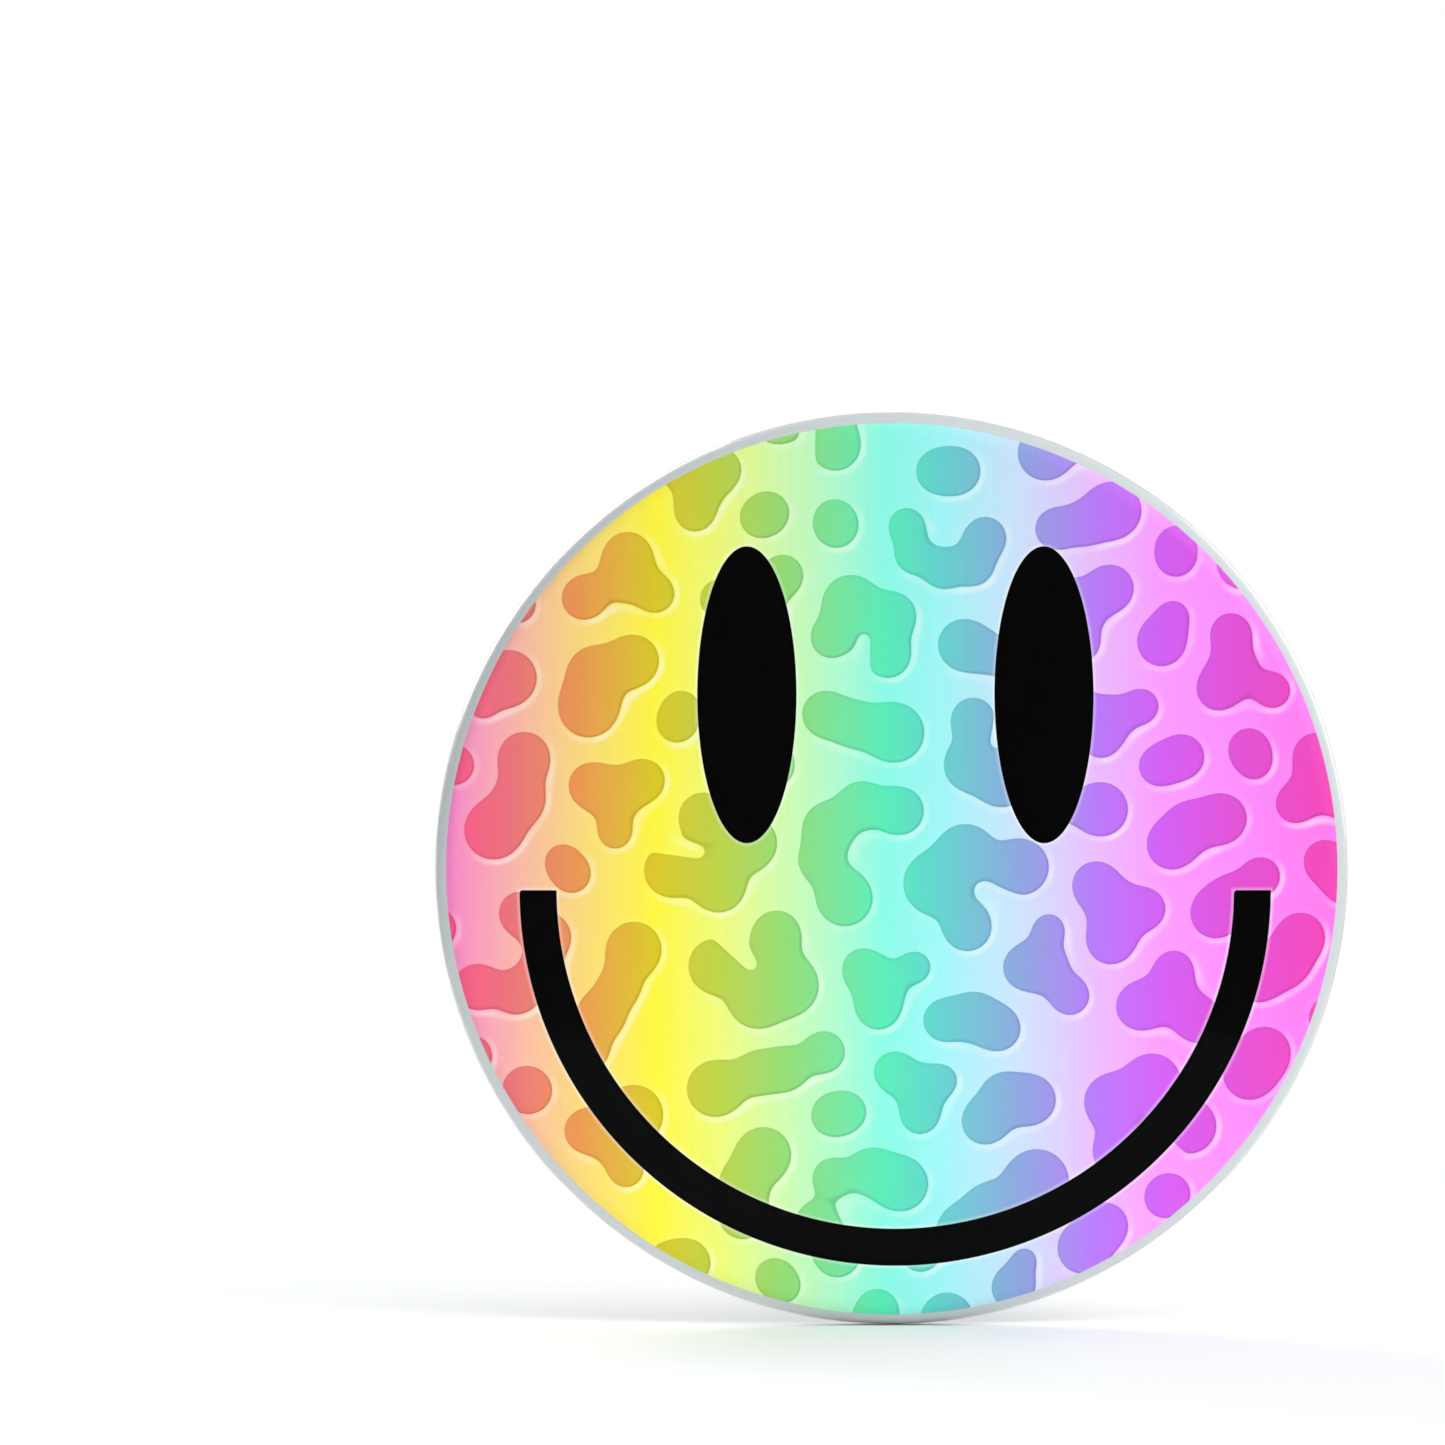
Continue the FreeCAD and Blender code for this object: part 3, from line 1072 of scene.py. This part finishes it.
class Sheet:
    """A flat triangle mesh that is cut along the lines where a distance is zero."""

    def __init__(self, radius, cell):
        self.points, self.triangles = lattice(radius, cell)
        self.held = np.zeros(len(self.points), dtype=bool)
        self.cell = cell

    def cut(self, level):
        """Cuts the mesh where level is zero and returns which triangles lie where it is less."""
        value = self.settle(level)
        sign = np.sign(value)[self.triangles]
        crossed = (sign.min(1) < 0) & (sign.max(1) > 0)
        cut = self.triangles[crossed]
        sign = sign[crossed]
        odd = np.argmax(sign == -sign.sum(1)[:, None], axis=1)
        order = (odd[:, None] + np.arange(3)) % 3
        cut = np.take_along_axis(cut, order, axis=1)
        touching = np.take_along_axis(sign, order, axis=1)[:, 0] == 0
        half, lone = cut[touching], cut[~touching]
        edges = np.vstack([half[:, 1:], lone[:, :2], lone[:, ::2]])
        crossings = self.add_crossings(edges, value)
        on_half, first, second = np.split(crossings, [len(half), len(half) + len(lone)])
        a, b, c = half.T
        made = [(a, b, on_half), (a, on_half, c)]
        a, b, c = lone.T
        made += [(a, first, second), (first, b, c), (first, c, second)]
        made = [np.column_stack(corners) for corners in made]
        self.triangles = np.vstack([self.triangles[~crossed], *made])
        value = np.concatenate([value, np.zeros(len(self.points) - len(value))])
        return value[self.triangles].sum(1) < 0

    def settle(self, level):
        """Moves free points that are close to the line on to it, so that no sliver is left beside it."""
        value = level(self.points)
        near = (np.abs(value) < SNAP_SHARE * self.cell) & ~self.held
        for _ in range(SETTLING_STEPS):
            slope = slope_of(level, self.points[near])
            steep = np.maximum((slope**2).sum(1), LEAST_STEEP)
            self.points[near] -= slope * (level(self.points[near]) / steep)[:, None]
        value = level(self.points)
        value[np.abs(value) < ON_LINE] = 0
        self.held |= value == 0
        return value

    def add_crossings(self, edges, value):
        """Adds a point where each edge crosses the line, shared by both its triangles."""
        unique, back = np.unique(np.sort(edges, axis=1), axis=0, return_inverse=True)
        share = value[unique[:, 0]] / (value[unique[:, 0]] - value[unique[:, 1]])
        start = self.points[unique[:, 0]]
        made = start + (self.points[unique[:, 1]] - start) * share[:, None]
        found = len(self.points) + back.reshape(-1)
        self.points = np.vstack([self.points, made])
        self.held = np.concatenate([self.held, np.ones(len(made), dtype=bool)])
        return found


def lifted(points, inset):
    """Flat points laid on the wrap's front at an inset, and the direction that faces out of it there."""
    away = np.hypot(*points.T)
    dome, shoulder = WRAP["dome"], WRAP["shoulder"]
    on_dome = away < (dome[1] - inset) * math.cos(math.radians(dome[3]))
    centre_x = np.where(on_dome, 0.0, shoulder[0][0])
    centre_y = np.where(on_dome, dome[0][1], shoulder[0][1])
    radius = np.where(on_dome, dome[1], shoulder[1]) - inset
    drop = np.sqrt(radius**2 - (away - centre_x) ** 2)
    x, z = points.T
    out_x, out_z = (points / np.maximum(away, TINY)[:, None]).T
    lean = (away - centre_x) / radius
    placed = np.column_stack([x, centre_y - drop, z])
    return placed, np.column_stack([out_x * lean, -drop / radius, out_z * lean])


def add_ink(name, sheet, chosen, material):
    """A thin closed plate of ink from the chosen triangles of the sheet.

    edge and ink are the distances from the spots and from the black, and lit is how much a spot's
    edge faces the lower right.
    """
    used, local = np.unique(sheet.triangles[chosen], return_inverse=True)
    local = local.reshape(-1, 3)
    flat = sheet.points[used]
    count = len(used)
    top, top_normals = lifted(flat, INK_TOP)
    bottom, bottom_normals = lifted(flat, INK_BOTTOM)
    edges = np.vstack([local[:, [0, 1]], local[:, [1, 2]], local[:, [2, 0]]])
    code = edges[:, 0] * count + edges[:, 1]
    rim = edges[~np.isin(code, edges[:, 1] * count + edges[:, 0])]
    walls = np.column_stack([rim[:, 0], rim[:, 0] + count, rim[:, 1] + count, rim[:, 1]])
    faces = local.tolist() + (local[:, ::-1] + count).tolist() + walls.tolist()
    slope = slope_of(SPOTS.edge_distance, flat)
    slope /= np.maximum(np.hypot(*slope.T), TINY)[:, None]
    values = {
        "edge": SPOTS.edge_distance(flat),
        "lit": slope @ np.array([0.7, -0.7]),
        "ink": ink_distance(flat),
    }
    attributes = {key: np.tile(value, 2) for key, value in values.items()}
    points = np.vstack([top, bottom])
    normals = np.vstack([top_normals, -bottom_normals])
    add_piece(name, "printed_paper", points, faces, [material], attributes, normals)


def add_print():
    """Three plates of ink from one sheet, which is also cut in circles where it bends at the shoulder."""
    sheet = Sheet(ART_RADIUS, LATTICE_CELL)
    inside = sheet.cut(outside_circle(ART_RADIUS))
    sheet.triangles = sheet.triangles[inside]
    shoulder_start = DOME_RADIUS * math.cos(math.radians(WRAP["dome"][3]))
    for radius in np.arange(shoulder_start, ART_RADIUS - LAST_RING_GAP, SHOULDER_RING_GAP):
        sheet.cut(outside_circle(radius))
    sheet.cut(ink_distance)
    spotted = sheet.cut(SPOTS.edge_distance)
    middles = sheet.points[sheet.triangles].mean(1)
    inked = ink_distance(middles) < 0
    add_ink("print_ground", sheet, ~spotted & ~inked, ground_print())
    add_ink("print_spots", sheet, spotted & ~inked, spot_print())
    add_ink("print_ink", sheet, inked, black_print())


# ---- the back


def bent_strip(corners, bends, depth, steps):
    """Points along a bent strip's back surface moved forward by depth, with steps to each bend."""
    corners = np.array(corners)
    runs = np.diff(corners, axis=0)
    runs /= np.hypot(*runs.T)[:, None]
    normals = np.column_stack([-runs[:, 1], runs[:, 0]])
    found = [corners[0] - normals[0] * depth]
    for corner, bend, before, after in zip(corners[1:-1], bends, normals, normals[1:]):
        side = 1 if before[0] * after[1] - before[1] * after[0] < 0 else -1
        middle = (before + after) / np.hypot(*(before + after))
        centre = corner - middle * (side * bend / (middle @ before))
        for k in range(steps + 1):
            found.append(centre + slerp(before, after, k / steps) * (side * bend - depth))
    found.append(corners[-1] - normals[-1] * depth)
    return found


def slerp(first, second, share):
    """The direction that share of the way from first to second."""
    start = math.atan2(first[1], first[0])
    turn = math.atan2(second[1], second[0]) - start
    turn = (turn + math.pi) % (2 * math.pi) - math.pi
    return np.array([math.cos(start + turn * share), math.sin(start + turn * share)])


def add_back_plate():
    """The pressed plate: flat floor, step, sloping band, rolled bead, wall and hooked lip."""
    tuck_end_y = WRAP["fold"][0][1] - TUCK_DEPTH
    step_y = FLOOR_Y + STEP_HEIGHT
    bead_y = step_y + (WALL_RADIUS - STEP_RADIUS) * math.tan(math.radians(BAND_SLOPE))
    lip_y = tuck_end_y - LIP_CLEARANCE - PLATE_THICKNESS / 2
    corners = [
        (0.0, FLOOR_Y),
        (FLOOR_RADIUS, FLOOR_Y),
        (STEP_RADIUS, step_y),
        (WALL_RADIUS, bead_y),
        (WALL_RADIUS, lip_y),
        (WALL_RADIUS + LIP_WIDTH, lip_y - LIP_LENGTH),
    ]
    bends = [FOOT_BEND, STEP_BEND, BEAD_BEND, LIP_BEND]
    back = bent_strip(corners, bends, 0, BACK_BEND_STEPS)
    front = bent_strip(corners, bends, PLATE_THICKNESS, FRONT_BEND_STEPS)
    rings = []
    for x, y in back + front[::-1]:
        rings.append(pole(y) if x < TINY else ring(x, y, PLATE_SEGMENTS))
    points, faces, _ = skin(rings)
    add_piece("pressed_plate", "back_plate", points, faces, [dark_tinplate()], {})


def cut_outline(rng):
    """The magnet's radius round its middle: a die-cut circle, slightly uneven, with one shallow flat."""
    turn = turns(PLATE_SEGMENTS)
    radius = np.full(PLATE_SEGMENTS, MAGNET_RADIUS - MAGNET_TRIM)
    for waves in range(2, 9):
        radius += BROAD_WAVE / waves * rng.normal() * np.cos(waves * turn + rng.uniform(0, 2 * math.pi))
    for waves in (23, 41, 67, 97):
        radius += FINE_WAVE * np.cos(waves * turn + rng.uniform(0, 2 * math.pi))
    off = (turn - math.radians(FLAT_SIDE) + math.pi) % (2 * math.pi) - math.pi
    half = math.radians(FLAT_HALF_WIDTH)
    chord = radius.mean() * math.cos(half) / np.cos(np.clip(off, -half, half))
    return np.where(np.abs(off) < half, np.minimum(radius, chord - FLAT_DEPTH), radius)


def add_magnet():
    """The magnet disc, its back rim rolled over by the cutting die."""
    outline = cut_outline(np.random.default_rng(5))
    rings = [pole(MAGNET_BACK_Y)]
    edges = [np.full(1, -MAGNET_RADIUS)]
    for share in MAGNET_RING_SHARES:
        rings.append(ring(outline * share, MAGNET_BACK_Y, PLATE_SEGMENTS))
        edges.append(outline * (share - 1))
    rim = [(inset, MAGNET_BACK_Y - drop) for inset, drop in MAGNET_RIM]
    rim += [(inset, MAGNET_FRONT_Y + drop) for inset, drop in MAGNET_RIM[-2::-1]]
    for inset, y in rim:
        rings.append(ring(outline - inset, y, PLATE_SEGMENTS))
        edges.append(np.full(PLATE_SEGMENTS, -inset))
    rings.append(pole(MAGNET_FRONT_Y))
    edges.append(np.full(1, -MAGNET_RADIUS))
    points, faces, _ = skin(rings)
    points += np.array(MAGNET_SHIFT)
    attributes = {"edge": np.concatenate(edges)}
    add_piece("magnet_sheet", "magnet_disc", points, faces, [magnet_rubber()], attributes)


def finish_cad_node(node, material):
    """Gives a CAD node that stays its finished material."""
    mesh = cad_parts[node].data
    mesh.materials.clear()
    mesh.materials.append(material)


# ---- the studio


def show_in_scene(name, data):
    thing = bpy.data.objects.new(name, data)
    bpy.context.scene.collection.objects.link(thing)
    return thing


def add_ground():
    """A wide pale disc that the badge stands on."""
    rings = [np.zeros((1, 3))] + [ring(radius, 0.0, GROUND_SEGMENTS) for radius in GROUND_RADII]
    points, faces, _ = joined(rings)
    points = points[:, [0, 2, 1]] * MM
    points[:, 2] = cad_box[0].z
    mesh = bpy.data.meshes.new("floor")
    mesh.from_pydata(points.tolist(), [], faces)
    mesh.materials.append(pale_floor())
    floor = show_in_scene("floor", mesh)


def add_lamp(name, place, width, power):
    """A round lamp that points at the middle of the badge."""
    lamp = bpy.data.lights.new(name, "AREA")
    lamp.shape = "DISK"
    lamp.size = width * MM
    lamp.energy = power
    thing = show_in_scene(name, lamp)
    thing.location = [value * MM for value in place]
    thing.rotation_euler = (-thing.location).to_track_quat("-Z", "Y").to_euler()


def add_world():
    """White behind everything. As light it is soft, and dark straight before and behind the badge."""
    world = bpy.data.worlds.new("studio")
    bpy.context.scene.world = world
    world.use_nodes = True
    nodes = Nodes(world.node_tree, "ShaderNodeOutputWorld")
    direction = nodes.add("TexCoord").outputs["Generated"]
    x, y, z = nodes.add("SeparateXYZ", {0: direction}).outputs
    beside = nodes.ease(nodes.math("ABSOLUTE", y), 0.72, 0.93, 1, 0)
    above = nodes.ease(z, -0.05, 0.35, SKY_LOW, SKY_HIGH)
    sideways = nodes.fit(x, -1, 1, SKY_LEFT, SKY_RIGHT)
    strength = nodes.times(nodes.times(beside, above), sideways)
    soft = nodes.add("Background", {"Color": SKY_COLOUR, "Strength": strength}).outputs[0]
    white = nodes.add("Background", {"Color": WHITE, "Strength": 1.0}).outputs[0]
    seen = nodes.add("LightPath").outputs["Is Camera Ray"]
    nodes.show(nodes.add("MixShader", {0: seen, 1: soft, 2: white}).outputs[0])


def add_studio():
    """Large soft lamps that stand clear of what the badge's face mirrors to the camera."""
    add_world()
    for name, (place, width, power) in LAMPS.items():
        add_lamp(name, place, width, power)
    view = bpy.context.scene.view_settings
    view.view_transform = "Standard"
    view.look = "None"


def add_camera():
    """A long lens straight at the front, with the badge right of and below the middle of the frame."""
    camera = bpy.data.cameras.new("camera")
    camera.lens = LENS
    camera.sensor_width = FILM_WIDTH
    thing = show_in_scene("camera", camera)
    distance = FRAME_WIDTH * LENS / FILM_WIDTH
    rim_y = WRAP["shoulder"][0][1]
    thing.location = [CAMERA_X * MM, (rim_y - distance) * MM, CAMERA_Z * MM]
    thing.rotation_euler = (math.pi / 2, 0, 0)
    bpy.context.scene.camera = thing


add_camera()
add_studio()
add_ground()
add_wrap()
add_print()
add_back_plate()
add_magnet()
finish_cad_node("front_shell", bright_tinplate())
finish_cad_node("adhesive_layer", dried_glue())
